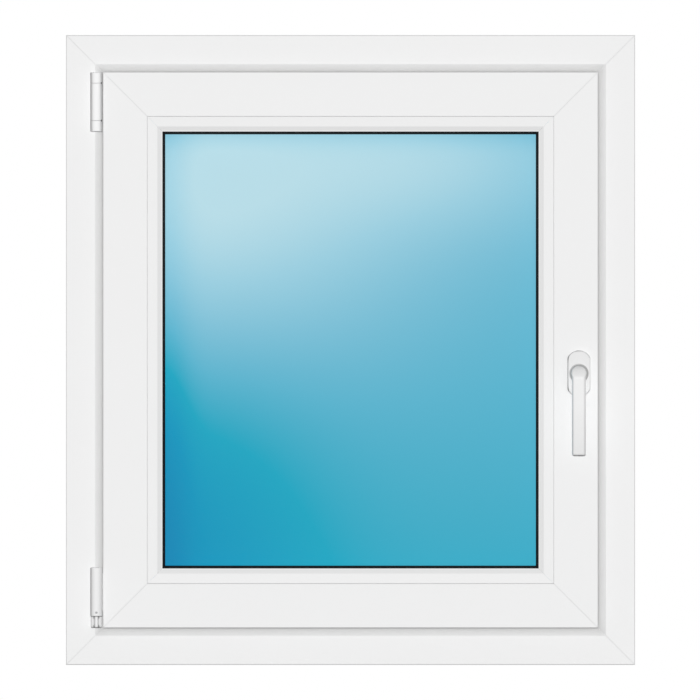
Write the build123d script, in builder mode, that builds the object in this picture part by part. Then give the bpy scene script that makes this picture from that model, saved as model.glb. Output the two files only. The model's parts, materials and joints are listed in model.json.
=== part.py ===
"""A single-sash PVC window: welded outer frame, welded sash, clip-in glazing beads, sealed double
glazing, two surface hinges and a lever handle. Millimetres, +Z up, the room is on the -Y side.
The origin is the middle of the frame's underside."""

import os

from build123d import *

# Overall size of the outer frame
frame_width = 750.0
frame_height = 830.0
frame_depth = 70.0

# Outer frame section, measured inwards from the frame's outer edge
frame_room_face = 57.0
frame_stop_height = 20.0
frame_stop_thickness = 11.0
frame_shoulder_width = 10.5
frame_shoulder_drop = 5.3
frame_shoulder_bulge = 0.8
anchor_groove_width = 5.0
anchor_groove_depth = 3.0
anchor_groove_spacing = 44.0

# How the sash sits in the frame
sash_overlap = 8.0
rebate_air = 12.0
seal_gap = 3.0

# Sash section
sash_leaf_thickness = 14.0
sash_face = 58.0
sash_glass_leg = 14.0
bead_groove_width = 4.0
bead_groove_depth = 4.5
bead_groove_inset = 5.0
hardware_groove_width = 12.0
hardware_groove_depth = 9.0
hardware_groove_inset = 9.0

# Walls of the extruded profiles
outer_wall = 2.8
inner_web = 1.4
skin_chamber = 9.0
frame_edge_radius = 1.3
sash_edge_radius = 0.4
bead_edge_radius = 0.5
weld_groove_width = 1.2
weld_groove_depth = 0.14

# Glazing bead
bead_face = 20.0
bead_joint = 0.2
bead_step = 0.25
bead_mitre_gap = 0.06
bead_slope_width = 13.2
bead_slope_drop = 0.4
bead_nose_width = 5.6
bead_nose_drop = 1.1
bead_wall = 1.8
bead_foot_clearance = 0.3

# Double glazing and its seals
pane_thickness = 4.0
pane_gap = 16.0
pane_edge_gap = 5.0
pane_arris = 0.5
glazing_seal = 4.0
glazing_seal_face = 3.5
glazing_seal_depth = 8.0
glazing_seal_lip = 3.0
stop_seal_width = 5.0
stop_seal_inset = 1.5
spacer_width = 7.0
spacer_inset = 6.0

# Hinges on the left of the sash
hinge_diameter = 16.0
hinge_sash_gap = 1.0
hinge_face_gap = 3.0
hinge_plate_thickness = 2.5
hinge_plate_width = 9.5
hinge_plate_offset = -1.75
hinge_pin_diameter = 7.0
hinge_pin_clearance = 0.05
hinge_joint = 0.4
hinge_edge = 1.2
hinge_leaf_thickness = 1.6
hinge_leaf_reach = 16.0
hinge_leaf_knee = 7.95
hinge_leaf_margin = 8.0
hinge_leaf_notch = 1.0
top_hinge_cap = 14.0
top_hinge_barrel = 50.0
bottom_hinge_barrel = 64.5
bottom_hinge_foot = 15.0
foot_lobe_count = 6
foot_lobe_radius = 2.8
foot_lobe_edge = 1.5
adjuster_diameter = 3.6
adjuster_depth = 2.5
adjuster_height = 4.5

# Handle on the right of the sash
handle_from_sash_edge = 25.0
handle_height = 384.0
rosette_width = 30.0
rosette_height = 61.0
rosette_end_rise = 9.5
rosette_corner = 7.0
rosette_thickness = 10.0
rosette_edge = 1.6
collar_diameter = 23.4
collar_height = 5.0
collar_edge = 1.0
collar_gap = 0.4
lever_pin_diameter = 14.0
lever_pin_length = 8.0
lever_pin_clearance = 0.05
neck_diameter = 21.0
lever_reach = 48.0
lever_bend = 17.0
lever_crook = 7.0
grip_length = 108.0
grip_width = 18.0
grip_thickness = 13.0
grip_end_thickness = 9.5
grip_lean = 7.0
grip_end_corner = 3.0
grip_edge = 3.0

# Drain slots on the outside of the sill
drain_spacing = 420.0
drain_slot_length = 30.0
drain_slot_height = 5.0
drain_height = 30.0
drain_cap_margin = 4.0
drain_cap_thickness = 3.5
drain_cap_edge = 1.5
drain_mouth = 2.0

# Places worked out from the sizes above: distances inwards from the frame's outer edge
sash_edge = frame_room_face - sash_overlap
frame_stop_edge = frame_room_face + frame_stop_height
sash_rebate_edge = frame_room_face + rebate_air
bead_line = sash_edge + sash_face
sight_line = bead_line + bead_face
pane_edge = bead_line + pane_edge_gap

# Places worked out from the sizes above: depths along Y
frame_room = -frame_depth / 2
frame_outside = frame_depth / 2
seal_land = frame_room + frame_shoulder_drop
stop_inside = frame_outside - frame_stop_thickness
sash_leaf_back = seal_land - seal_gap
sash_room = sash_leaf_back - sash_leaf_thickness
sash_outside = stop_inside - seal_gap
glass_leg_inside = sash_outside - sash_glass_leg
outside_pane_face = glass_leg_inside - glazing_seal
room_pane_face = outside_pane_face - 2 * pane_thickness - pane_gap
bead_glass_side = room_pane_face - glazing_seal

# Each side of the window: the plane of its section, with local X pointing inwards from the
# frame's outer edge and local Y running outdoors, and the length of that outer edge
SIDES = {
    "bottom": (Plane(origin=(0, 0, 0), x_dir=(0, 0, 1), z_dir=(-1, 0, 0)), frame_width),
    "top": (Plane(origin=(0, 0, frame_height), x_dir=(0, 0, -1), z_dir=(1, 0, 0)), frame_width),
    "left": (
        Plane(origin=(-frame_width / 2, 0, frame_height / 2), x_dir=(1, 0, 0), z_dir=(0, 0, 1)),
        frame_height,
    ),
    "right": (
        Plane(origin=(frame_width / 2, 0, frame_height / 2), x_dir=(-1, 0, 0), z_dir=(0, 0, -1)),
        frame_height,
    ),
}


# Sections of the extruded profiles


def chamber_webs(room, outside):
    """Depths of the four webs that divide a profile into two skin chambers, a wide steel chamber
    and two skin chambers."""
    pitch = skin_chamber + inner_web
    first = outer_wall + skin_chamber + inner_web / 2
    return [room + first, room + first + pitch, outside - first - pitch, outside - first]


def hollow_section(corners, wall, webs, radius, rounded):
    """A hollow extrusion's section: an even wall behind its outline, and webs across the hollow."""
    inner_edge = max(x for x, y in corners)
    with BuildSketch() as chambers:
        Polygon(*corners, align=None)
        offset(amount=-wall, kind=Kind.INTERSECTION, mode=Mode.REPLACE)
        if webs:
            with Locations(*[(inner_edge / 2, depth) for depth in webs]):
                Rectangle(inner_edge, inner_web, mode=Mode.SUBTRACT)
    with BuildSketch() as section:
        Polygon(*corners, align=None)
        by_depth = section.vertices().group_by(Axis.Y)
        fillet([*by_depth[0], *(by_depth[-1] if rounded == "both faces" else [])], radius)
        add(chambers.sketch, mode=Mode.SUBTRACT)
    return section.sketch


def anchor_groove(depth):
    """Corners of one clip groove in the frame's outer edge, from outdoors to the room."""
    half = anchor_groove_width / 2
    return [
        (0, depth + half),
        (anchor_groove_depth, depth + half),
        (anchor_groove_depth, depth - half),
        (0, depth - half),
    ]


frame_tube = hollow_section(
    [
        (0, frame_room),
        (sash_edge - frame_shoulder_width, frame_room),
        (sash_edge, seal_land),
        (frame_room_face, seal_land),
        (frame_room_face, stop_inside),
        (frame_stop_edge, stop_inside),
        (frame_stop_edge, frame_outside),
        (0, frame_outside),
        *anchor_groove(anchor_groove_spacing / 2),
        *anchor_groove(-anchor_groove_spacing / 2),
    ],
    outer_wall,
    chamber_webs(frame_room, frame_outside),
    frame_edge_radius,
    "both faces",
)

# The frame's rounded shoulder, which falls away towards the sash
with BuildSketch() as frame_profile:
    add(frame_tube)
    with BuildLine():
        shoulder = Line((sash_edge - frame_shoulder_width, frame_room), (sash_edge, seal_land))
        SagittaArc(shoulder @ 0, shoulder @ 1, -frame_shoulder_bulge)
    make_face()
frame_section = frame_profile.sketch

bead_groove_room = sash_room + bead_groove_inset
bead_groove_outside = bead_groove_room + bead_groove_width
hardware_groove_room = sash_leaf_back + hardware_groove_inset
hardware_groove_outside = hardware_groove_room + hardware_groove_width
sash_section = hollow_section(
    [
        (sash_edge, sash_room),
        (bead_line, sash_room),
        (bead_line, bead_groove_room),
        (bead_line - bead_groove_depth, bead_groove_room),
        (bead_line - bead_groove_depth, bead_groove_outside),
        (bead_line, bead_groove_outside),
        (bead_line, glass_leg_inside),
        (sight_line, glass_leg_inside),
        (sight_line, sash_outside),
        (sash_rebate_edge, sash_outside),
        (sash_rebate_edge, hardware_groove_outside),
        (sash_rebate_edge + hardware_groove_depth, hardware_groove_outside),
        (sash_rebate_edge + hardware_groove_depth, hardware_groove_room),
        (sash_rebate_edge, hardware_groove_room),
        (sash_rebate_edge, sash_leaf_back),
        (sash_edge, sash_leaf_back),
    ],
    outer_wall,
    chamber_webs(sash_room, sash_outside),
    sash_edge_radius,
    "both faces",
)

bead_foot_line = bead_line + bead_joint
bead_room = sash_room + bead_step
bead_slope_end = bead_room + bead_slope_drop
bead_lip = bead_slope_end + bead_nose_drop
bead_section = hollow_section(
    [
        (bead_foot_line, bead_room),
        (bead_foot_line + bead_slope_width, bead_slope_end),
        (bead_foot_line + bead_slope_width + bead_nose_width, bead_lip),
        (sight_line, bead_lip),
        (sight_line, bead_glass_side),
        (bead_foot_line, bead_glass_side),
        (bead_foot_line, bead_groove_outside - bead_foot_clearance),
        (bead_line - bead_groove_depth + bead_foot_clearance, bead_groove_outside - bead_foot_clearance),
        (bead_line - bead_groove_depth + bead_foot_clearance, bead_groove_room + bead_foot_clearance),
        (bead_foot_line, bead_groove_room + bead_foot_clearance),
    ],
    bead_wall,
    [],
    bead_edge_radius,
    "room face",
)


# Sections of the rubber seals and of the spacer


def glazing_seal_section(glass, backing):
    """A seal pressed between the glass and its bead or leg, with a lip that shows past their edge."""
    outwards = 1 if backing > glass else -1
    lip_end = backing + outwards * glazing_seal_lip
    with BuildSketch() as section:
        Polygon(
            (sight_line - glazing_seal_depth, glass),
            (sight_line + glazing_seal_face, glass),
            (sight_line + glazing_seal_face, backing),
            (sight_line + glazing_seal_face / 2, lip_end),
            (sight_line, lip_end),
            (sight_line, backing),
            (sight_line - glazing_seal_depth, backing),
            align=None,
        )
    return section.sketch


def strip_section(start, width, low, high):
    """A plain rectangular strip."""
    with BuildSketch() as section:
        with Locations((start + width / 2, (low + high) / 2)):
            Rectangle(width, high - low)
    return section.sketch


room_seal_section = glazing_seal_section(room_pane_face, bead_glass_side)
outside_seal_section = glazing_seal_section(outside_pane_face, glass_leg_inside)
sash_seal_section = strip_section(sash_edge + stop_seal_inset, stop_seal_width, sash_leaf_back, seal_land)
frame_seal_section = strip_section(
    frame_stop_edge - stop_seal_inset - stop_seal_width, stop_seal_width, sash_outside, stop_inside
)
spacer_section = strip_section(
    pane_edge + spacer_inset,
    spacer_width,
    room_pane_face + pane_thickness,
    outside_pane_face - pane_thickness,
)


# Mitred lengths of profile


def mitred_bar(section, side, gap=0):
    """One length of profile on that side of the window, cut at 45 degrees at both ends and short of
    the true mitre by the gap."""
    plane, length = SIDES[side]
    reach = sight_line + glazing_seal_face
    with BuildPart() as bar:
        with BuildSketch(plane):
            add(section)
        extrude(amount=length / 2, both=True)
        with BuildSketch(Plane(plane.origin, x_dir=plane.z_dir, z_dir=(0, 1, 0))) as outline:
            half = length / 2 - gap
            inwards = outline.workplanes[0].to_local_coords(plane.origin + plane.x_dir * reach).Y
            sign = 1 if inwards > 0 else -1
            far = sign * reach
            Polygon((-half, 0), (half, 0), (half - reach, far), (reach - half, far), align=None)
        extrude(amount=frame_depth * 2, both=True, mode=Mode.INTERSECT)
    return bar.part


def mitred_ring(section):
    """The same section on all four sides, joined at the corners."""
    bars = [mitred_bar(section, side) for side in SIDES]
    with BuildPart() as ring:
        for bar in bars:
            add(bar)
    return ring.part


def weld_grooves(start, end, face):
    """Cutters for the shallow cleaned groove along the four corner welds, on one face of a profile."""
    half_width = frame_width / 2
    half_height = frame_height / 2
    with BuildPart() as cutters:
        for across in (-1, 1):
            for up in (-1, 1):
                corner = Vector(
                    across * (half_width - start), face, half_height + up * (half_height - start)
                )
                inwards = Vector(-across, 0, -up).normalized()
                with BuildSketch(Plane(corner, x_dir=inwards.cross(Vector(0, 1, 0)), z_dir=inwards)):
                    Polygon(
                        (-weld_groove_width / 2, 0),
                        (0, weld_groove_depth),
                        (weld_groove_width / 2, 0),
                        (0, -weld_groove_depth),
                    )
        extrude(amount=(end - start) * 2**0.5)
    return cutters.part


def write(part, name):
    """Labels a finished piece and writes its STEP file."""
    part.label = name
    export_step(part, f"parts/{name}.step")


os.makedirs("parts", exist_ok=True)

# Outer frame: four lengths welded at their mitres, the sill with drain slots

frame_welds = [
    weld_grooves(0, sash_edge - frame_shoulder_width, frame_room),
    weld_grooves(0, frame_stop_edge, frame_outside),
]
for side, name in {"top": "frame_head", "left": "frame_left_jamb", "right": "frame_right_jamb"}.items():
    blank = mitred_bar(frame_section, side)
    with BuildPart() as member:
        add(blank)
        for weld in frame_welds:
            add(weld, mode=Mode.SUBTRACT)
    write(member.part, name)

sill_blank = mitred_bar(frame_section, "bottom")
with BuildPart() as frame_sill:
    add(sill_blank)
    for weld in frame_welds:
        add(weld, mode=Mode.SUBTRACT)
    with BuildSketch(Plane.XZ.offset(-frame_outside)):
        with Locations((0, drain_height)):
            with GridLocations(drain_spacing, 1, 2, 1):
                SlotOverall(drain_slot_length, drain_slot_height)
    extrude(amount=outer_wall, mode=Mode.SUBTRACT)
write(frame_sill.part, "frame_sill")

frame_seal = mitred_ring(frame_seal_section)
write(frame_seal, "frame_stop_gasket")

# Drain covers on the outside of the sill, open along their lower edge

for place, name in ((-drain_spacing / 2, "drain_cap_left"), (drain_spacing / 2, "drain_cap_right")):
    cap_length = drain_slot_length + 2 * drain_cap_margin
    cap_height = drain_slot_height + 2 * drain_cap_margin
    with BuildPart() as drain_cap:
        with BuildSketch(Plane.XZ.offset(-frame_outside)):
            with Locations((-place, drain_height)):
                RectangleRounded(cap_length, cap_height, drain_cap_margin)
        extrude(amount=-drain_cap_thickness)
        fillet(drain_cap.faces().sort_by(Axis.Y)[-1].edges(), drain_cap_edge)
        with BuildSketch(Plane.XZ.offset(-frame_outside)):
            with Locations((-place, drain_height - drain_cap_margin)):
                Rectangle(drain_slot_length - drain_cap_margin, cap_height)
        extrude(amount=-drain_mouth, mode=Mode.SUBTRACT)
    write(drain_cap.part, name)

# Sash: four lengths welded at their mitres, with its seal against the frame

sash_welds = [
    weld_grooves(sash_edge, bead_line, sash_room),
    weld_grooves(sash_rebate_edge, sight_line, sash_outside),
]
sash_names = {
    "top": "sash_top_rail",
    "bottom": "sash_bottom_rail",
    "left": "sash_hinge_stile",
    "right": "sash_handle_stile",
}
for side, name in sash_names.items():
    blank = mitred_bar(sash_section, side)
    with BuildPart() as member:
        add(blank)
        for weld in sash_welds:
            add(weld, mode=Mode.SUBTRACT)
    write(member.part, name)

# Glazing: beads, seals, two panes and the spacer between them

for side in SIDES:
    write(mitred_bar(bead_section, side, bead_mitre_gap), f"glazing_bead_{side}")

write(mitred_ring(room_seal_section), "room_glazing_gasket")
write(mitred_ring(outside_seal_section), "outside_glazing_gasket")
write(mitred_ring(spacer_section), "glass_spacer")

for face, name in (
    (room_pane_face + pane_thickness, "room_pane"),
    (outside_pane_face, "outside_pane"),
):
    with BuildPart() as pane:
        with BuildSketch(Plane.XZ.offset(-face)):
            with Locations((0, frame_height / 2)):
                Rectangle(frame_width - 2 * pane_edge, frame_height - 2 * pane_edge)
        extrude(amount=pane_thickness)
        chamfer(pane.edges().filter_by(Axis.Y, reverse=True), pane_arris)
    write(pane.part, name)

# Hinges: each turns on an upright pin beside the sash's left edge, clear of the frame's face

hinge_radius = hinge_diameter / 2
hinge_x = -frame_width / 2 + sash_edge - hinge_sash_gap - hinge_radius
hinge_y = frame_room - hinge_face_gap - hinge_radius
pin_bore = hinge_pin_diameter + 2 * hinge_pin_clearance
top_hinge_top = frame_height - sash_edge
top_barrel_top = top_hinge_top - top_hinge_cap
top_barrel_bottom = top_barrel_top - top_hinge_barrel
top_hinge_bottom = top_barrel_bottom - top_hinge_cap
foot_bottom = sash_edge
foot_top = foot_bottom + bottom_hinge_foot
bottom_barrel_top = foot_top + bottom_hinge_barrel


def hinge_plane(height):
    """Level plane centred on the hinge pin."""
    return Plane((hinge_x, hinge_y, height))


def leaf_spans(low, high):
    """Lower and upper end of the leaf on a barrel."""
    return low + hinge_leaf_margin, high - hinge_leaf_margin


def hinge_barrel(low, high):
    """A barrel with its leaf, which runs through the seal gap to the back of the sash."""
    leaf_low, leaf_high = leaf_spans(low, high)
    behind = sash_leaf_back + hinge_leaf_thickness / 2
    with BuildPart() as barrel:
        with BuildSketch(hinge_plane(low + hinge_joint)):
            Circle(hinge_radius)
        extrude(amount=high - low - 2 * hinge_joint)
        fillet(barrel.edges().filter_by(GeomType.CIRCLE), hinge_joint)
        with BuildSketch(hinge_plane(leaf_low)):
            with BuildLine():
                FilletPolyline(
                    (0, 0),
                    (hinge_leaf_knee, behind - hinge_y),
                    (hinge_radius + hinge_sash_gap + hinge_leaf_reach, behind - hinge_y),
                    radius=hinge_leaf_thickness,
                )
                offset(amount=hinge_leaf_thickness / 2, side=Side.BOTH)
            make_face()
        extrude(amount=leaf_high - leaf_low)
        with BuildSketch(hinge_plane(low)):
            Circle(pin_bore / 2)
        extrude(amount=high - low, mode=Mode.SUBTRACT)
    return barrel.part


def hinge_pin(low, high):
    """The upright steel pin, flush with the ends of the hinge."""
    with BuildPart() as pin:
        with BuildSketch(hinge_plane(low)):
            Circle(hinge_pin_diameter / 2)
        extrude(amount=high - low)
        chamfer(pin.edges().filter_by(GeomType.CIRCLE), hinge_joint)
    return pin.part


with BuildPart() as top_hinge_bearing:
    for low in (top_hinge_bottom, top_barrel_top):
        with BuildSketch(hinge_plane(low)):
            Circle(hinge_radius)
            with Locations((hinge_plate_offset, (frame_room - hinge_y) / 2)):
                Rectangle(hinge_plate_width, frame_room - hinge_y)
        extrude(amount=top_hinge_cap)
    ends = top_hinge_bearing.faces().filter_by(Plane.XY).sort_by(Axis.Z)
    fillet([*ends[0].edges(), *ends[-1].edges()], hinge_edge)
    with BuildSketch(hinge_plane(top_hinge_bottom)):
        with Locations((hinge_plate_offset, frame_room - hinge_y - hinge_plate_thickness / 2)):
            Rectangle(hinge_plate_width, hinge_plate_thickness)
    extrude(amount=top_hinge_top - top_hinge_bottom)
    with BuildSketch(hinge_plane(top_hinge_bottom)):
        Circle(pin_bore / 2)
    extrude(amount=top_hinge_top - top_hinge_bottom, mode=Mode.SUBTRACT)
write(top_hinge_bearing.part, "top_hinge_bearing")

write(hinge_barrel(top_barrel_bottom, top_barrel_top), "top_hinge_barrel")
write(hinge_pin(top_hinge_bottom, top_hinge_top), "top_hinge_pin")

# Bottom hinge: a fluted foot on a plate carries the barrel, which has an adjuster recess in front

lobe_circle = hinge_radius - foot_lobe_radius
with BuildPart() as foot_lobe:
    with BuildSketch(Plane((0, 0, foot_bottom))):
        Circle(foot_lobe_radius)
    extrude(amount=bottom_hinge_foot)
    fillet(foot_lobe.edges().filter_by(GeomType.CIRCLE), foot_lobe_edge)

with BuildPart() as bottom_hinge_foot_part:
    with BuildSketch(hinge_plane(foot_bottom)):
        Circle(lobe_circle)
    extrude(amount=bottom_hinge_foot)
    with Locations((hinge_x, hinge_y)):
        with PolarLocations(lobe_circle, foot_lobe_count, start_angle=-90):
            add(foot_lobe.part)
    with BuildSketch(hinge_plane(foot_bottom)):
        with Locations((hinge_plate_offset, (frame_room - hinge_y) / 2)):
            Rectangle(hinge_plate_width, frame_room - hinge_y)
    extrude(amount=bottom_hinge_foot)
    with BuildSketch(hinge_plane(foot_bottom)):
        with Locations((hinge_plate_offset, frame_room - hinge_y - hinge_plate_thickness / 2)):
            Rectangle(hinge_plate_width, hinge_plate_thickness)
    extrude(amount=bottom_barrel_top - foot_bottom)
    with BuildSketch(hinge_plane(foot_bottom)):
        Circle(pin_bore / 2)
    extrude(amount=bottom_hinge_foot, mode=Mode.SUBTRACT)
write(bottom_hinge_foot_part.part, "bottom_hinge_foot")

plain_barrel = hinge_barrel(foot_top, bottom_barrel_top)
with BuildPart() as bottom_hinge_barrel_part:
    add(plain_barrel)
    with BuildSketch(Plane((hinge_x, hinge_y - hinge_radius, foot_top + adjuster_height), z_dir=(0, 1, 0))):
        Circle(adjuster_diameter / 2)
    extrude(amount=adjuster_depth, mode=Mode.SUBTRACT)
write(bottom_hinge_barrel_part.part, "bottom_hinge_barrel")
write(hinge_pin(foot_bottom, bottom_barrel_top), "bottom_hinge_pin")

# Sash seal, notched where the hinge leaves pass

sash_seal_ring = mitred_ring(sash_seal_section)
with BuildPart() as sash_stop_gasket:
    add(sash_seal_ring)
    for low, high in ((top_barrel_bottom, top_barrel_top), (foot_top, bottom_barrel_top)):
        leaf_low, leaf_high = leaf_spans(low, high)
        notch = leaf_high - leaf_low + 2 * hinge_leaf_notch
        with BuildSketch(Plane((0, 0, leaf_low - hinge_leaf_notch))):
            with Locations((-frame_width / 2 + sash_edge + stop_seal_width, sash_leaf_back)):
                Rectangle(stop_seal_width * 2, 2 * (hinge_leaf_thickness + hinge_pin_clearance))
        extrude(amount=notch, mode=Mode.SUBTRACT)
write(sash_stop_gasket.part, "sash_stop_gasket")

# Handle: a rosette on the sash and a lever that turns in it

handle_x = frame_width / 2 - sash_edge - handle_from_sash_edge
rosette_face = sash_room - rosette_thickness
collar_back = rosette_face - collar_gap


def handle_plane(depth):
    """Upright plane centred on the handle's turning axis, seen from the room."""
    return Plane((handle_x, depth, handle_height), x_dir=(1, 0, 0), z_dir=(0, -1, 0))


with BuildPart() as handle_rosette:
    half = rosette_width / 2
    side_top = rosette_height / 2 - rosette_end_rise
    with BuildSketch(handle_plane(sash_room)) as rosette_outline:
        with BuildLine():
            Line((half, -side_top), (half, side_top))
            ThreePointArc((half, side_top), (0, rosette_height / 2), (-half, side_top))
            Line((-half, side_top), (-half, -side_top))
            ThreePointArc((-half, -side_top), (0, -rosette_height / 2), (half, -side_top))
        make_face()
        fillet(rosette_outline.vertices(), rosette_corner)
    extrude(amount=rosette_thickness)
    fillet(handle_rosette.faces().sort_by(Axis.Y)[0].edges(), rosette_edge)
    with BuildSketch(handle_plane(sash_room)):
        Circle(lever_pin_diameter / 2 + lever_pin_clearance)
    extrude(amount=rosette_thickness, mode=Mode.SUBTRACT)
write(handle_rosette.part, "handle_rosette")

# The lever is where its side outline, a bent and tapered bar, meets its front outline, a round head
# over a straight grip. Its collar and pin are added once its edges are rounded.
neck_radius = neck_diameter / 2
neck_root = rosette_thickness + collar_gap + collar_height / 2
with BuildPart() as handle_lever:
    side_plane = Plane((handle_x, sash_room, handle_height), x_dir=(0, -1, 0), z_dir=(-1, 0, 0))
    with BuildSketch(side_plane) as side_outline:
        Polygon(
            (neck_root, neck_radius),
            (lever_reach, neck_radius),
            (lever_reach - grip_lean, -grip_length),
            (lever_reach - grip_lean - grip_end_thickness, -grip_length),
            (lever_reach - grip_thickness, -neck_radius),
            (neck_root, -neck_radius),
            align=None,
        )
        outer_corner = side_outline.vertices().sort_by_distance((lever_reach, neck_radius))[0]
        fillet(outer_corner, lever_bend)
        crook_place = (lever_reach - grip_thickness, -neck_radius)
        inner_corner = side_outline.vertices().sort_by_distance(crook_place)[0]
        fillet(inner_corner, lever_crook)
    extrude(amount=collar_diameter, both=True)
    with BuildSketch(handle_plane(sash_room)) as front_outline:
        Circle(neck_radius)
        with Locations((0, -grip_length / 2)):
            Rectangle(grip_width, grip_length)
        fillet(front_outline.vertices().group_by(Axis.Y)[0], grip_end_corner)
    extrude(amount=2 * lever_reach, mode=Mode.INTERSECT)
    clear_of_collar = collar_back - neck_radius
    fillet([e for e in handle_lever.edges() if e.center().Y < clear_of_collar], grip_edge)
    with BuildSketch(handle_plane(collar_back)):
        Circle(collar_diameter / 2)
    extrude(amount=collar_height)
    circles = handle_lever.edges().filter_by(GeomType.CIRCLE)
    collar_rim = circles.filter_by(lambda e: e.radius == collar_diameter / 2)
    fillet(collar_rim.sort_by(Axis.Y)[0], collar_edge)
    with BuildSketch(handle_plane(collar_back)):
        Circle(lever_pin_diameter / 2)
    extrude(amount=-lever_pin_length)
write(handle_lever.part, "handle_lever")
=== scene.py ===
"""Dresses the PVC window: white extruded frame and sash, clip-in beads, black seals, double glazing
with a painted sky reflection, white hinges, a white lever handle and drain covers, seen straight on
from the room."""

import json
import math

import bpy
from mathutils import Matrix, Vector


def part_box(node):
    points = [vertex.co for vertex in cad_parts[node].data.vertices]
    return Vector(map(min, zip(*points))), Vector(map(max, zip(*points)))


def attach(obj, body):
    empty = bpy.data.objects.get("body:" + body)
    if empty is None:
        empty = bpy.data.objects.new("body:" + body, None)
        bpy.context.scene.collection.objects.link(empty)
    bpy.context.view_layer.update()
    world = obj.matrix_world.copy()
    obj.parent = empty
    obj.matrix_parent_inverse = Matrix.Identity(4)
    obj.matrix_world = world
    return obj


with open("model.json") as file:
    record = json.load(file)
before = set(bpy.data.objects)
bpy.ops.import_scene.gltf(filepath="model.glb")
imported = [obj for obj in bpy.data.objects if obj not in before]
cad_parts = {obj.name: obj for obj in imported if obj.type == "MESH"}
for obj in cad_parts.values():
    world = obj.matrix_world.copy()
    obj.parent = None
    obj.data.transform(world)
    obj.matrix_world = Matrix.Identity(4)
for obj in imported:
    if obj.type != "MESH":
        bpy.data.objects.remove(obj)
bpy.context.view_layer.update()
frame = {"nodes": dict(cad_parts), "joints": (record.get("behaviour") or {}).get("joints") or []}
nodes = frame["nodes"]

# Studio: a pale floor, one lamp in front of the window, a little above the camera, and three lamps
# behind it that light its sides, top and outside without reaching the room face. The camera stands
# square to the room side, far off, as in a catalogue picture.
picture_width = 0.9226
picture_centre = (-0.0007, 0.415)
camera_distance = 3.0
floor_size = 12.0
floor_drop = 0.0005
floor_pale = (0.93, 0.93, 0.93)
floor_paler = (0.95, 0.95, 0.95)
floor_cloud = 3.0
floor_rough = 0.9
surround_fill = 0.075
front_lamp = {"strength": 2.33, "spread": 1.6, "tilt": 88.4, "turn": 0.0, "gloss": True}
back_lamp = {"strength": 1.5, "spread": 20.0, "tilt": 80.0, "gloss": False}
lamps = {
    "front_lamp": front_lamp,
    "back_left_lamp": back_lamp | {"turn": 240.0},
    "back_right_lamp": back_lamp | {"turn": 120.0},
    "back_top_lamp": back_lamp | {"tilt": 40.0, "turn": 180.0},
}

scene = bpy.context.scene
scene.view_settings.view_transform = "Standard"

camera_data = bpy.data.cameras.new("camera")
camera_data.type = "ORTHO"
camera_data.ortho_scale = picture_width
camera = bpy.data.objects.new("camera", camera_data)
camera.location = (picture_centre[0], -camera_distance, picture_centre[1])
camera.rotation_euler = (math.radians(90), 0, 0)
scene.collection.objects.link(camera)
scene.camera = camera

for name, setting in lamps.items():
    lamp = bpy.data.lights.new(name, "SUN")
    lamp.energy = setting["strength"]
    lamp.angle = math.radians(setting["spread"])
    lamp_object = bpy.data.objects.new(name, lamp)
    lamp_object.rotation_euler = (math.radians(setting["tilt"]), 0, math.radians(setting["turn"]))
    lamp_object.visible_glossy = setting["gloss"]
    scene.collection.objects.link(lamp_object)


class Value:
    """An output in a node tree that takes part in Python arithmetic, by adding Math nodes."""

    def __init__(self, tree, output=None):
        self.tree = tree
        self.output = output

    def node(self, kind, settings=None, **sockets):
        """Adds a node of the kind, sets it up, then sets or links its sockets. Returns its first
        output in use. A socket is named by its label with _ for a space, or by i and its number."""
        made = self.tree.nodes.new(kind)
        for name, value in (settings or {}).items():
            if name == "stops":
                ramp = made.color_ramp.elements
                while len(ramp) < len(value):
                    ramp.new(0.5)
                for stop, (position, colour) in zip(ramp, value):
                    stop.position = position
                    stop.color = (*colour, 1.0)
            else:
                setattr(made, name, value)
        for name, value in sockets.items():
            socket = made.inputs[int(name[1:]) if name[1:].isdigit() else name.replace("_", " ")]
            if isinstance(value, list):
                for part in value:
                    self.tree.links.new(part.output, socket)
            elif isinstance(value, Value):
                self.tree.links.new(value.output, socket)
            elif socket.type == "RGBA":
                socket.default_value = (*value, 1.0)
            else:
                socket.default_value = value
        return Value(self.tree, next((o for o in made.outputs if o.enabled), None))

    def side(self, name):
        """Another output of the same node."""
        return Value(self.tree, self.output.node.outputs[name])

    def math(self, operation, *values):
        numbered = {f"i{i}": v for i, v in enumerate(values)}
        return self.node("ShaderNodeMath", {"operation": operation}, **numbered)

    def __add__(self, other):
        return self.math("ADD", self, other)

    __radd__ = __add__

    def __sub__(self, other):
        return self.math("SUBTRACT", self, other)

    def __rsub__(self, other):
        return self.math("SUBTRACT", other, self)

    def __mul__(self, other):
        return self.math("MULTIPLY", self, other)

    __rmul__ = __mul__

    def __truediv__(self, other):
        return self.math("DIVIDE", self, other)

    def __pow__(self, other):
        return self.math("POWER", self, other)

    def __neg__(self):
        return self.math("MULTIPLY", self, -1.0)

    def __abs__(self):
        return self.math("ABSOLUTE", self)

    def __lt__(self, other):
        return self.math("LESS_THAN", self, other)

    def between_0_and_1(self):
        return self.math("MINIMUM", self.math("MAXIMUM", self, 0.0), 1.0)

    def axes(self):
        """The three coordinates of a place."""
        split = self.node("ShaderNodeSeparateXYZ", Vector=self)
        return split, split.side("Y"), split.side("Z")

    def stretched(self, *scale):
        """The same place with each axis scaled."""
        return self.node("ShaderNodeMapping", Vector=self, Scale=scale)

    def noise(self, scale, detail=2.0):
        """A cloudy pattern from 0 to 1."""
        return self.node("ShaderNodeTexNoise", Vector=self, Scale=scale, Detail=detail)

    def blend(self, low, high):
        """The colour this far between two others."""
        return self.node("ShaderNodeMix", {"data_type": "RGBA"}, i0=self, i6=low, i7=high)

    def bump(self, depth, **under):
        """A surface raised by this pattern, up to the depth in metres, on another or none."""
        return self.node("ShaderNodeBump", Height=self, Distance=depth, **under)


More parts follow.
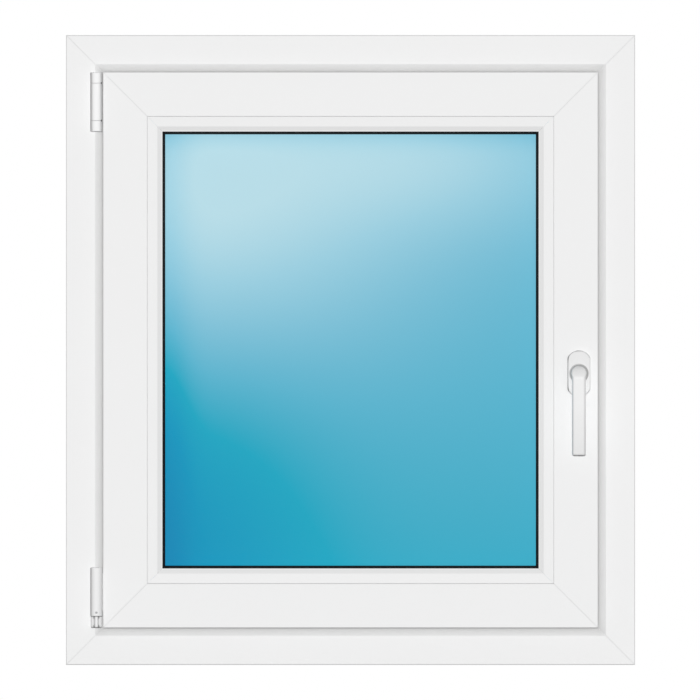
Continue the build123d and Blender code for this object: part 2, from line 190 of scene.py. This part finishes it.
def finish(name, specular=0.5):
    """A new surface finish. Returns it, its place in object space and a way to feed its shader."""
    material = bpy.data.materials.new(name)
    material.use_nodes = True
    tree = material.node_tree
    shader = tree.nodes["Principled BSDF"]
    shader.inputs["Specular IOR Level"].default_value = specular
    place = Value(tree).node("ShaderNodeTexCoord").side("Object")

    def feed(**values):
        for socket, value in values.items():
            target = shader.inputs[socket.replace("_", " ")]
            if isinstance(value, Value):
                tree.links.new(value.output, target)
            else:
                target.default_value = value

    return material, place, feed


world = bpy.data.worlds.new("surround")
world.use_nodes = True
scene.world = world
surround = world.node_tree.nodes["Background"]
surround.inputs["Color"].default_value = (1, 1, 1, 1)
seen = Value(world.node_tree).node("ShaderNodeLightPath")
white = (seen + seen.side("Is Glossy Ray") + seen.side("Is Transmission Ray")).between_0_and_1()
level = surround_fill + (1.0 - surround_fill) * white
world.node_tree.links.new(level.output, surround.inputs["Strength"])

floor_mesh = bpy.data.meshes.new("floor")
half = floor_size / 2
floor_mesh.from_pydata(
    [(-half, -half, 0), (half, -half, 0), (half, half, 0), (-half, half, 0)], [], [(0, 1, 2, 3)]
)
floor = bpy.data.objects.new("floor", floor_mesh)
floor.location.z = -floor_drop
floor.visible_shadow = False
floor.visible_diffuse = False
scene.collection.objects.link(floor)
floor_paint, place, feed = finish("floor_paint")
feed(Base_Color=place.noise(floor_cloud).blend(floor_pale, floor_paler), Roughness=floor_rough)
floor_mesh.materials.append(floor_paint)

# Frame and sash: hollow PVC profiles, extruded white right through, cut at 45 degrees and welded at
# the corners. The skin is half matt, with faint lines that the die leaves along its length, and
# painted shade darkens the frame's shoulder, in the angle beside the sash.
pvc_white = (0.866, 0.866, 0.866)
pvc_shade = (0.852, 0.853, 0.854)
shoulder_shade = (0.735, 0.735, 0.73)
shoulder_width = 0.0105
shoulder_back = -0.028
pvc_gloss = 0.464
gloss_spread = 0.012
cloud_size = 14.0
die_line_pitch = 900.0
die_line_stretch = 0.02
die_line_depth = 0.000004
line_share = 0.3
shoulder_shade_patch = 0.3
sash_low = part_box("sash_bottom_rail")[0]
sash_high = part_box("sash_top_rail")[1]


def extruded_pvc(name, level, shoulder_shaded):
    """White PVC whose die lines run level or upright, with or without painted shade beside the
    sash.
    """
    material, place, feed = finish(name)
    along = (die_line_stretch, 1, 1) if level else (1, 1, die_line_stretch)
    lines = place.stretched(*along).noise(die_line_pitch, 1.0)
    clouds = place.noise(cloud_size, 3.0)
    mottle = (1.0 - line_share) * clouds + line_share * lines
    colour = mottle.blend(pvc_shade, pvc_white)
    # Painted shade: the frame's shoulder darkens in patches towards the sash, in the angle beside
    # it.
    if shoulder_shaded:
        x, y, z = place.axes()
        axis = 2 if level else 0
        middle = (sash_low[axis] + sash_high[axis]) / 2
        reach = (sash_high[axis] - sash_low[axis]) / 2
        beyond = abs((z if level else x) - middle) - reach
        near = (1.0 - beyond / shoulder_width).between_0_and_1()
        patchy = 1.0 - shoulder_shade_patch / 2 + shoulder_shade_patch * clouds
        colour = (near * (y < shoulder_back) * patchy).blend(colour, shoulder_shade)
    feed(
        Base_Color=colour,
        Roughness=pvc_gloss - gloss_spread / 2 + gloss_spread * clouds,
        Normal=lines.bump(die_line_depth),
    )
    return material


def dress(material, *names):
    """Gives CAD nodes one finish."""
    for name in names:
        slots = nodes[name].data.materials
        slots.clear()
        slots.append(material)


level_pvc = extruded_pvc("level_pvc", True, False)
upright_pvc = extruded_pvc("upright_pvc", False, False)
dress(extruded_pvc("frame_level_pvc", True, True), "frame_head", "frame_sill")
dress(extruded_pvc("frame_upright_pvc", False, True), "frame_left_jamb", "frame_right_jamb")
dress(level_pvc, "sash_top_rail", "sash_bottom_rail")
dress(upright_pvc, "sash_hinge_stile", "sash_handle_stile")

# Glazing beads: thin PVC strips, clipped in the sash and cut at 45 degrees, so that each can be
# taken out to change the glass. They come from the same white compound as the profiles.
dress(level_pvc, "glazing_bead_top", "glazing_bead_bottom")
dress(upright_pvc, "glazing_bead_left", "glazing_bead_right")

# Seals: black rubber, extruded in one length and pressed in grooves of the frame, the sash and the
# beads. The rubber is matt, with a faint pale bloom.
seal_black = (0.005, 0.005, 0.0055)
seal_bloom = (0.012, 0.012, 0.0125)
bloom_size = 700.0
bloom_depth = 0.00003
seal_matt = 0.6
seal_matt_spread = 0.2
seal_rubber, place, feed = finish("seal_rubber", specular=0.12)
grain = place.noise(bloom_size, 3.0)
feed(
    Base_Color=grain.blend(seal_black, seal_bloom),
    Roughness=seal_matt + seal_matt_spread * grain,
    Normal=grain.bump(bloom_depth),
)
dress(
    seal_rubber,
    "frame_stop_gasket",
    "sash_stop_gasket",
    "room_glazing_gasket",
    "outside_glazing_gasket",
)


def grow(name, material, sizes, build):
    """A piece made by its own Geometry Nodes tree. The sizes become the tree's named inputs, and
    build takes them and returns the geometry. The result is a plain mesh on the window."""
    tree = bpy.data.node_groups.new(name, "GeometryNodeTree")
    for label in sizes:
        tree.interface.new_socket(label, in_out="INPUT", socket_type="NodeSocketFloat")
    tree.interface.new_socket("Geometry", in_out="OUTPUT", socket_type="NodeSocketGeometry")
    given = Value(tree).node("NodeGroupInput")
    shape = build(**{label.lower().replace(" ", "_"): given.side(label) for label in sizes})
    whole = shape.node("GeometryNodeRealizeInstances", Geometry=shape)
    dressed = whole.node("GeometryNodeSetMaterial", Geometry=whole, Material=material)
    dressed.node("NodeGroupOutput", Geometry=dressed)
    piece = bpy.data.objects.new(name, bpy.data.meshes.new(name))
    scene.collection.objects.link(piece)
    modifier = piece.modifiers.new(name, "NODES")
    modifier.node_group = tree
    for item in tree.interface.items_tree:
        if item.in_out == "INPUT":
            modifier[item.identifier] = sizes[item.name]
    grown = piece.evaluated_get(bpy.context.evaluated_depsgraph_get())
    mesh = bpy.data.meshes.new_from_object(grown)
    piece.modifiers.remove(modifier)
    while mesh.materials[0] is None:
        mesh.materials.pop(index=0)
    piece.data = mesh
    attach(piece, "window")
    return piece


# Glazing seal lips: both glazing seals end in a rolled lip of the same rubber, which the bead or
# the sash presses on the glass all the way round.
lip_radius = 0.0006
lip_corner = 0.0012
lip_facets = 12
corner_steps = 6
seal_face = 0.0035
upright = (math.pi / 2, 0, 0)
pane_low, pane_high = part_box("room_pane")
lip_middle = (pane_low[2] + pane_high[2]) / 2
lip_inset = seal_face - lip_radius / 2
opening_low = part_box("glazing_bead_bottom")[1][2]
opening_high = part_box("glazing_bead_top")[0][2]
lip_sizes = {
    "Width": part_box("glazing_bead_right")[0][0] * 2 - 2 * lip_inset,
    "Height": opening_high - opening_low - 2 * lip_inset,
    "Corner": lip_corner,
    "Lip": lip_radius,
}


def lip_at(depth):
    """How one lip is swept: a round section along a rectangle with rounded corners."""

    def swept(width, height, corner, lip):
        loop = width.node("GeometryNodeCurvePrimitiveQuadrilateral", Width=width, Height=height)
        soft = loop.node(
            "GeometryNodeFilletCurve",
            {"mode": "POLY"},
            Curve=loop,
            Count=corner_steps,
            Radius=corner,
        )
        section = lip.node("GeometryNodeCurvePrimitiveCircle", Resolution=lip_facets, Radius=lip)
        tube = soft.node("GeometryNodeCurveToMesh", Curve=soft, Profile_Curve=section)
        smooth = tube.node("GeometryNodeSetShadeSmooth", Geometry=tube)
        return smooth.node(
            "GeometryNodeTransform",
            Geometry=smooth,
            Translation=(0, depth, lip_middle),
            Rotation=upright,
        )

    return swept


room_depth = pane_low[1] - lip_radius
outside_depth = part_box("outside_pane")[1][1] + lip_radius
grow("room_seal_lip", seal_rubber, lip_sizes, lip_at(room_depth))
grow("outside_seal_lip", seal_rubber, lip_sizes, lip_at(outside_depth))

# Glass: two sealed panes of float glass with a painted reflection of a summer sky, palest high on
# the left and deepest low on the left, which also glows. The panes are a little see-through, so the
# spacer shows at an angle.
sky_reflection_stops = [
    (0.0, (0.000, 0.223, 0.414)),
    (0.15, (0.000, 0.274, 0.453)),
    (0.3, (0.006, 0.341, 0.477)),
    (0.45, (0.092, 0.409, 0.551)),
    (0.6, (0.178, 0.468, 0.598)),
    (0.8, (0.295, 0.553, 0.656)),
    (1.0, (0.431, 0.637, 0.703)),
]
sky_reflection_glow = 0.33
sky_rough = 0.01
sky_cover = 0.9
high_left_hill = {"centre": (0.09, 0.839), "size": (0.556, 0.335)}
high_right_hill = {"centre": (0.737, 0.92), "size": (0.351, 0.16)}
low_left_hill = {"centre": (0.066, 0.085), "size": (0.331, 0.489)}
left_edge_band = {"centre": 0.034, "size": 0.063}
top_edge_band = {"centre": 0.974, "size": 0.031}


def hill(across, up, centre, size):
    """A smooth hill from 0 to 1 on the pane."""
    far = ((across - centre[0]) / size[0]) ** 2.0 + ((up - centre[1]) / size[1]) ** 2.0
    return across.math("EXPONENT", -far)


def band(way, centre, size):
    """A smooth band from 0 to 1 along one edge of the pane."""
    return way.math("EXPONENT", -(((way - centre) / size) ** 2.0))


def painted_sky_glass(name):
    """Glass with a painted, glowing sky reflection that follows the height and width of the pane.
    """
    material, place, feed = finish(name, specular=0.2)
    x, y, z = place.axes()
    across = (x - pane_low[0]) / (pane_high[0] - pane_low[0])
    up = (z - pane_low[2]) / (pane_high[2] - pane_low[2])
    # Painted reflection: how bright the sky shows at each place on the pane, also used as a glow.
    light = 0.341 + 0.214 * up
    light = light + 0.525 * hill(across, up, **high_left_hill)
    light = light + 0.239 * hill(across, up, **high_right_hill)
    light = light - 0.201 * hill(across, up, **low_left_hill)
    light = light - 0.17 * band(across, **left_edge_band)
    light = light - 0.126 * band(up, **top_edge_band)
    sky = light.node("ShaderNodeValToRGB", {"stops": sky_reflection_stops}, Fac=light)
    feed(
        Base_Color=sky,
        Emission_Color=sky,
        Emission_Strength=sky_reflection_glow,
        Roughness=sky_rough,
        Alpha=sky_cover,
    )
    return material


dress(painted_sky_glass("painted_sky_glass"), "room_pane", "outside_pane")

# Spacer: a hollow aluminium bar that holds the two panes apart, bent at the corners, bonded to both
# and filled with drying grains. The metal is bright, with faint lines from rolling.
spacer_dull = (0.50, 0.51, 0.52)
spacer_bright = (0.62, 0.63, 0.64)
rolled_stretch = (1, 0.05, 1)
rolled_pitch = 800.0
rolled_rough = 0.3
rolled_rough_spread = 0.2
spacer_metal, place, feed = finish("spacer_metal")
rolled = place.stretched(*rolled_stretch).noise(rolled_pitch)
feed(
    Base_Color=rolled.blend(spacer_dull, spacer_bright),
    Roughness=rolled_rough + rolled_rough_spread * rolled,
    Metallic=1.0,
)
dress(spacer_metal, "glass_spacer")

# Spacer holes: two rows of fine holes, punched in the spacer's inner wall, let the grains inside it
# dry the air between the panes. They show as dark dots.
hole_dark = (0.03, 0.03, 0.032)
hole_darker = (0.012, 0.012, 0.013)
hole_grain = 2000.0
hole_facets = 8
hole_depth = 0.0001
hole_shadow, place, feed = finish("hole_shadow", specular=0.2)
feed(Base_Color=place.noise(hole_grain).blend(hole_darker, hole_dark), Roughness=0.8)
spacer_low, spacer_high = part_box("glass_spacer")
spacer_wall = 0.007
hole_inset = 0.00001
hole_frame = 2 * (spacer_wall + hole_inset)


def hole_rows(width, height, pitch, radius, row_gap):
    """Flat discs at an even pitch along a rectangle, turned to face its middle, in two rows."""
    loop = width.node("GeometryNodeCurvePrimitiveQuadrilateral", Width=width, Height=height)
    spots = loop.node("GeometryNodeCurveToPoints", {"mode": "LENGTH"}, Curve=loop, Length=pitch)
    disc = radius.node(
        "GeometryNodeMeshCylinder",
        {"fill_type": "NGON"},
        Vertices=hole_facets,
        Radius=radius,
        Depth=hole_depth,
    )
    facing = spots.node(
        "FunctionNodeAlignRotationToVector", {"axis": "Z"}, Vector=spots.side("Normal")
    )
    row = spots.node("GeometryNodeInstanceOnPoints", Points=spots, Instance=disc, Rotation=facing)
    shift = row_gap / 2.0
    rows = []
    for way in (1.0, -1.0):
        offset = shift.node("ShaderNodeCombineXYZ", Z=shift * way)
        rows.append(row.node("GeometryNodeTransform", Geometry=row, Translation=offset))
    both = row.node("GeometryNodeJoinGeometry", Geometry=rows)
    middle = tuple((spacer_low + spacer_high) / 2)
    return both.node("GeometryNodeTransform", Geometry=both, Translation=middle, Rotation=upright)


grow(
    "spacer_holes",
    hole_shadow,
    {
        "Width": spacer_high[0] - spacer_low[0] - hole_frame,
        "Height": spacer_high[2] - spacer_low[2] - hole_frame,
        "Pitch": 0.006,
        "Radius": 0.0005,
        "Row Gap": 0.007,
    },
    hole_rows,
)

# Hinge barrels: die-cast covers and barrels, powder-coated white and screwed to the frame and the
# sash. Painted shade darkens the sides of the barrels, the upper one on both sides and the lower
# one on its left, and leaves the flattened front bright. The lower barrel's coat is greyer.
hinge_white = (0.96, 0.96, 0.96)
lower_hinge_white = (0.87, 0.87, 0.87)
barrel_side_shade = (0.58, 0.58, 0.58)
hinge_shine = (0.9, 0.54)
coat_speckle = 1200.0
coat_speckle_depth = 0.000004
coat_cloud = 60.0
coat_cloud_dark = 0.975
coat_rough_spread = 0.06
shade_patch = 0.2
hinge_shade_from = 0.62
flattening = 0.7
hinge_low, hinge_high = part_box("top_hinge_bearing")
hinge_axis = (hinge_low[0] + hinge_high[0]) / 2
hinge_radius = (hinge_high[0] - hinge_low[0]) / 2


def powder_coat(name, white, painted_shade, shine, shade_at, relief_at=None, relief_depth=0.0):
    """A fine-grained coat with its specular level and roughness. Painted shade lies where the shade
    mask, given the place's coordinates, is near 1, and relief_at gives the form under the coat."""
    specular, roughness = shine
    material, place, feed = finish(name, specular)
    speckle = place.noise(coat_speckle)
    fresh = place.noise(coat_cloud).blend(tuple(coat_cloud_dark * c for c in white), white)
    axes = place.axes()
    patchy = 1.0 - shade_patch / 2 + shade_patch * speckle
    # Painted shade, in patches, where the shade mask is near 1.
    shaded = shade_at(*axes).between_0_and_1() * patchy
    under = {"Normal": relief_at(*axes).bump(relief_depth)} if relief_at else {}
    feed(
        Base_Color=shaded.blend(fresh, painted_shade),
        Roughness=roughness - coat_rough_spread / 2 + coat_rough_spread * speckle,
        Normal=speckle.bump(coat_speckle_depth, **under),
    )
    return material


def on_hinge_sides(left, right):
    """Painted shade that rises from the front of a barrel to its sides, by these amounts."""

    def painted_shade(x, y, z):
        away = (x - hinge_axis) / hinge_radius
        on_left = (-away - hinge_shade_from) * (left / (1.0 - hinge_shade_from))
        on_right = (away - hinge_shade_from) * (right / (1.0 - hinge_shade_from))
        return x.math("MAXIMUM", on_left, on_right)

    return painted_shade


def barrel_coat(name, white, shade_at, flat_share):
    """The coat of a barrel whose front is a little flattened over this share of its width."""

    def flat_front(x, y, z):
        away = x.math("MINIMUM", abs(x - hinge_axis) / (hinge_radius * flat_share), 1.0)
        return away * away

    depth = flattening * hinge_radius * flat_share**2 / 2
    return powder_coat(name, white, barrel_side_shade, hinge_shine, shade_at, flat_front, depth)


upper_side_shade = on_hinge_sides(left=1.25, right=1.0)
lower_side_shade = on_hinge_sides(left=1.25, right=0.0)
upper_coat = barrel_coat("upper_hinge_coat", hinge_white, upper_side_shade, flat_share=0.6)
lower_coat = barrel_coat("lower_hinge_coat", lower_hinge_white, lower_side_shade, flat_share=0.88)
dress(upper_coat, "top_hinge_bearing", "top_hinge_barrel")
dress(lower_coat, "bottom_hinge_barrel")

# Hinge foot: the lower hinge stands on a ring of rounded pegs, cast in one with its plate and
# coated like the barrels. Painted shade lies in the grooves between the pegs and round their ends.
peg_count = 6.0
peg_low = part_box("bottom_hinge_foot")[0][2]
peg_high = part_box("bottom_hinge_barrel")[0][2]
peg_end = 0.0045
peg_shade = (0.20, 0.20, 0.20)
groove_shade = 0.35
groove_end_shade = 0.9
peg_end_shade = 0.7
pin_low, pin_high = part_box("top_hinge_pin")
hinge_depth = (pin_low[1] + pin_high[1]) / 2


def between_pegs(x, y, z):
    """Painted shade that rises in the grooves between the pegs and towards both their ends."""
    angle = x.math("ARCTAN2", y - hinge_depth, x - hinge_axis)
    groove = 0.5 - 0.5 * x.math("COSINE", peg_count * (angle + math.pi / 2))
    half_height = (peg_high - peg_low) / 2
    end = (abs(z - (peg_low + half_height)) - (half_height - peg_end)) / peg_end
    end = end.between_0_and_1()
    in_grooves = groove**2.0 * (groove_shade + groove_end_shade * end)
    return x.math("MAXIMUM", in_grooves, end**4.0 * peg_end_shade)


peg_coat = powder_coat("peg_coat", hinge_white, peg_shade, hinge_shine, between_pegs)
dress(peg_coat, "bottom_hinge_foot")

# Hinge pins: turned steel, zinc-plated, pushed through the knuckles from above. The turning leaves
# fine rings.
pin_dull = (0.48, 0.48, 0.50)
pin_bright = (0.60, 0.60, 0.61)
ring_stretch = (1, 1, 40)
ring_pitch = 200.0
pin_rough = 0.25
pin_rough_spread = 0.2
plated_pin, place, feed = finish("plated_pin")
turned = place.stretched(*ring_stretch).noise(ring_pitch)
feed(
    Base_Color=turned.blend(pin_dull, pin_bright),
    Roughness=pin_rough + pin_rough_spread * turned,
    Metallic=1.0,
)
dress(plated_pin, "top_hinge_pin", "bottom_hinge_pin")

# Hinge washers: flat nylon rings, threaded on the pins in the joints between the knuckles, where
# they show as fine grey lines.
washer_grey = (0.36, 0.36, 0.365)
washer_light = (0.44, 0.44, 0.445)
washer_grain = 900.0
washer_facets = 48
washer_inset = 0.0003
washer_nylon, place, feed = finish("washer_nylon", specular=0.3)
feed(Base_Color=place.noise(washer_grain).blend(washer_grey, washer_light), Roughness=0.6)
barrel_low, barrel_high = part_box("top_hinge_barrel")
joint_gap = 0.0004
washer_heights = (
    barrel_low[2] - joint_gap / 2,
    barrel_high[2] + joint_gap / 2,
    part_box("bottom_hinge_barrel")[0][2] - joint_gap / 2,
)


def washers(outer, inner, thickness):
    """One flat ring, repeated at each joint."""
    middle = (outer + inner) / 2.0
    loop = middle.node("GeometryNodeCurvePrimitiveCircle", Resolution=washer_facets, Radius=middle)
    section = outer.node(
        "GeometryNodeCurvePrimitiveQuadrilateral", Width=outer - inner, Height=thickness
    )
    ring = loop.node("GeometryNodeCurveToMesh", Curve=loop, Profile_Curve=section)
    rings = [
        ring.node(
            "GeometryNodeTransform", Geometry=ring, Translation=(hinge_axis, hinge_depth, height)
        )
        for height in washer_heights
    ]
    return ring.node("GeometryNodeJoinGeometry", Geometry=rings)


grow(
    "hinge_washers",
    washer_nylon,
    {"Outer": hinge_radius - washer_inset, "Inner": 0.0040, "Thickness": 0.0003},
    washers,
)

# Hinge clips: short bars of dark spring steel, pressed in the joints of the upper hinge on the side
# of the sash, where their darkness stands in for the shade in the notches of the joints.
clip_dark = (0.05, 0.05, 0.052)
clip_bright = (0.09, 0.09, 0.092)
notch_shade_clip, place, feed = finish("notch_shade_clip")
clip_grain = 1500.0
clip_turn = math.radians(35)
clip_steps = 9
clip_facets = 12
clip_roundness = 1.04
clip_side = (
    hinge_axis + hinge_radius * math.cos(clip_turn),
    hinge_depth - hinge_radius * math.sin(clip_turn),
)
feed(
    Base_Color=place.noise(clip_grain).blend(clip_dark, clip_bright),
    Roughness=0.45,
    Metallic=0.6,
)


def spring_clips(length, radius):
    """A short rounded bar across each joint, on the front right of the barrel."""
    bar = length.node(
        "GeometryNodeCurvePrimitiveLine",
        Start=length.node("ShaderNodeCombineXYZ", Z=length * -0.5),
        End=length.node("ShaderNodeCombineXYZ", Z=length * 0.5),
    )
    dense = bar.node("GeometryNodeResampleCurve", Curve=bar, Count=clip_steps)
    along = dense.node("GeometryNodeSplineParameter") * 2.0 - 1.0
    belly = dense.math("SQRT", clip_roundness - along * along)
    shaped = dense.node("GeometryNodeSetCurveRadius", Curve=dense, Radius=belly)
    section = radius.node("GeometryNodeCurvePrimitiveCircle", Resolution=clip_facets, Radius=radius)
    tube = shaped.node(
        "GeometryNodeCurveToMesh", Curve=shaped, Profile_Curve=section, Scale=belly, Fill_Caps=True
    )
    smooth = tube.node("GeometryNodeSetShadeSmooth", Geometry=tube)
    clips = [
        smooth.node("GeometryNodeTransform", Geometry=smooth, Translation=(*clip_side, height))
        for height in washer_heights[:2]
    ]
    return smooth.node("GeometryNodeJoinGeometry", Geometry=clips)


grow("notch_shade_clips", notch_shade_clip, {"Length": 0.0028, "Radius": 0.0008}, spring_clips)

# Adjuster screw: a steel set screw with a hexagon socket, dull zinc-plated and sunk in the barrel
# of the lower hinge, that lifts or lowers the sash.
screw_dull = (0.46, 0.46, 0.465)
screw_light = (0.54, 0.54, 0.545)
screw_zinc, place, feed = finish("screw_zinc", specular=0.2)
screw_grain = 1500.0
feed(Base_Color=place.noise(screw_grain).blend(screw_dull, screw_light), Roughness=0.7)
screw_radius = 0.0017
socket_radius = 0.0009
screw_height = 0.0009
socket_depth = 0.0007
screw_sides = 24
screw_shoulder = 0.8
screw_bevel = 0.88
screw_sunk = 0.0024
screw_rise = 0.0045
screw_place = (hinge_axis, hinge_depth - hinge_radius + screw_sunk, peg_high + screw_rise)


def screw_loop(radius, depth, hexagon):
    """A ring of points round the screw's axis, as a circle or as a hexagon."""
    points = []
    for i in range(screw_sides):
        angle = 2 * math.pi * i / screw_sides
        out = radius
        if hexagon:
            out *= math.cos(math.pi / 6) / math.cos(angle % (math.pi / 3) - math.pi / 6)
        points.append(
            (
                screw_place[0] + out * math.cos(angle),
                screw_place[1] + depth,
                screw_place[2] + out * math.sin(angle),
            )
        )
    return points


screw_loops = [
    screw_loop(screw_radius, 0, False),
    screw_loop(screw_radius, -screw_height * screw_shoulder, False),
    screw_loop(screw_radius * screw_bevel, -screw_height, False),
    screw_loop(socket_radius, -screw_height, True),
    screw_loop(socket_radius, socket_depth - screw_height, True),
]
screw_faces = [tuple(range(screw_sides - 1, -1, -1))]
for ring in range(len(screw_loops) - 1):
    for i in range(screw_sides):
        j = (i + 1) % screw_sides
        low, high = ring * screw_sides, (ring + 1) * screw_sides
        screw_faces.append((low + i, low + j, high + j, high + i))
last = (len(screw_loops) - 1) * screw_sides
screw_faces.append(tuple(range(last, last + screw_sides)))
screw_mesh = bpy.data.meshes.new("adjuster_screw")
screw_mesh.from_pydata([p for loop in screw_loops for p in loop], [], screw_faces)
screw_mesh.materials.append(screw_zinc)
adjuster_screw = bpy.data.objects.new("adjuster_screw", screw_mesh)
scene.collection.objects.link(adjuster_screw)
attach(adjuster_screw, "window")

# Handle: a die-cast lever that turns in a rosette screwed to the sash, both powder-coated white,
# the rosette's coat greyer than the lever's. Painted shade darkens the lever towards its free end,
# on its collar and its neck's edge, and lines the rosette's left rim and the ring round the lever's
# neck.
lever_white = (0.925, 0.925, 0.925)
rosette_white = (0.80, 0.80, 0.80)
handle_shade = (0.15, 0.15, 0.15)
handle_shine = (0.5, 0.47)
end_shade_from = 0.345
end_shade_length = 0.5
rim_from = 0.72
rim_shade = 0.95
rim_round = 0.0016
rim_flattening = 0.9
ring_radius = 0.0121
ring_width = 0.0012
neck_edge_from = 0.0094
neck_edge_width = 0.0012
neck_low = 0.006
neck_shade = 0.58
crown_radius = 0.0145
crown_flattening = 0.6
end_radius = 0.003
handle_axis = frame["joints"][0]["pos_m"]
neck_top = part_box("handle_lever")[1][2]
grip_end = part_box("handle_lever")[0][2]
rosette_low, rosette_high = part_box("handle_rosette")
collar_edge = 0.0004
collar_depth = 0.0056
collar_front = rosette_low[1] - collar_depth
rosette_middle = (rosette_low + rosette_high) / 2
rosette_half = (rosette_high - rosette_low) / 2


def off_axis(x, z):
    """How far a place is from the axis that the lever turns on."""
    return ((x - handle_axis[0]) ** 2.0 + (z - handle_axis[2]) ** 2.0) ** 0.5


def on_lever(x, y, z):
    """Painted shade that rises slowly towards the lever's free end, and at once on its collar and
    its neck's edge.
    """
    towards_end = (end_shade_from - z) / end_shade_length
    collar = (y - collar_front) / collar_edge
    on_neck = ((z - handle_axis[2] + neck_low) / (neck_low / 2)).between_0_and_1()
    edge = ((off_axis(x, z) - neck_edge_from) / neck_edge_width).between_0_and_1() * on_neck
    lined = x.math("MAXIMUM", collar.between_0_and_1(), edge) * neck_shade
    return x.math("MAXIMUM", towards_end, lined)


def on_rosette(x, y, z):
    """Painted shade that rises close to the left of the rosette's rounded outline, and in a ring
    round the neck.
    """
    across = (x - rosette_middle[0]) / rosette_half[0]
    up = (z - rosette_middle[2]) / rosette_half[2]
    rim = (across**4.0 + up**4.0 - rim_from) / (1.0 - rim_from)
    left_rim = rim.between_0_and_1() * (0.5 - across).between_0_and_1() * rim_shade
    ring = (1.0 - abs(off_axis(x, z) - ring_radius) / ring_width).between_0_and_1()
    ring = ring * (neck_shade + (1.0 - neck_shade) * across.between_0_and_1())
    return x.math("MAXIMUM", left_rim, ring)


def on_right_rim(x, y, z):
    """Rises over the rounded right edge of the rosette, which is a little flattened."""
    outward = ((x - (rosette_high[0] - rim_round)) / rim_round).between_0_and_1()
    return outward * outward


def on_lever_ends(x, y, z):
    """Rises over the rounded top of the neck and the grip's end, which are a little flattened."""
    crown = ((z - (neck_top - crown_radius)) / crown_radius).between_0_and_1()
    end = ((grip_end + end_radius - z) / end_radius).between_0_and_1()
    return crown * crown + (end_radius / crown_radius) * end * end


crown_depth = crown_flattening * crown_radius / 2
lever_coat = powder_coat(
    "lever_coat", lever_white, handle_shade, handle_shine, on_lever, on_lever_ends, crown_depth
)
dress(lever_coat, "handle_lever")
rim_depth = rim_flattening * rim_round / 2
rosette_coat = powder_coat(
    "rosette_coat", rosette_white, handle_shade, handle_shine, on_rosette, on_right_rim, rim_depth
)
dress(rosette_coat, "handle_rosette")

# Drain covers: caps moulded from the white compound of the profiles, clipped over the drain slots
# on the outside of the sill.
dress(level_pvc, "drain_cap_left", "drain_cap_right")

# Drain cover ribs: three small ribs, moulded across the face of each cover, that keep wind out of
# the slot behind it.
rib_count = 3
rib_facets = 12
rib_foot = 0.0049
cap_boxes = [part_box("drain_cap_left"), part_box("drain_cap_right")]


def cap_ribs(length, radius, pitch):
    """Half-sunk round bars, one above the other, on both covers."""
    bar = length.node(
        "GeometryNodeCurvePrimitiveLine",
        Start=length.node("ShaderNodeCombineXYZ", X=length * -0.5),
        End=length.node("ShaderNodeCombineXYZ", X=length * 0.5),
    )
    section = radius.node("GeometryNodeCurvePrimitiveCircle", Resolution=rib_facets, Radius=radius)
    rib = bar.node("GeometryNodeCurveToMesh", Curve=bar, Profile_Curve=section, Fill_Caps=True)
    step = pitch.node("ShaderNodeCombineXYZ", Z=pitch)
    places = step.node("GeometryNodeMeshLine", Count=rib_count, Offset=step)
    ladder = places.node("GeometryNodeInstanceOnPoints", Points=places, Instance=rib)
    ladders = [
        ladder.node(
            "GeometryNodeTransform",
            Geometry=ladder,
            Translation=((low[0] + high[0]) / 2, high[1], low[2] + rib_foot),
        )
        for low, high in cap_boxes
    ]
    return ladder.node("GeometryNodeJoinGeometry", Geometry=ladders)


rib_sizes = {"Length": 0.028, "Radius": 0.0006, "Pitch": 0.0026}
grow("drain_cap_ribs", level_pvc, rib_sizes, cap_ribs)
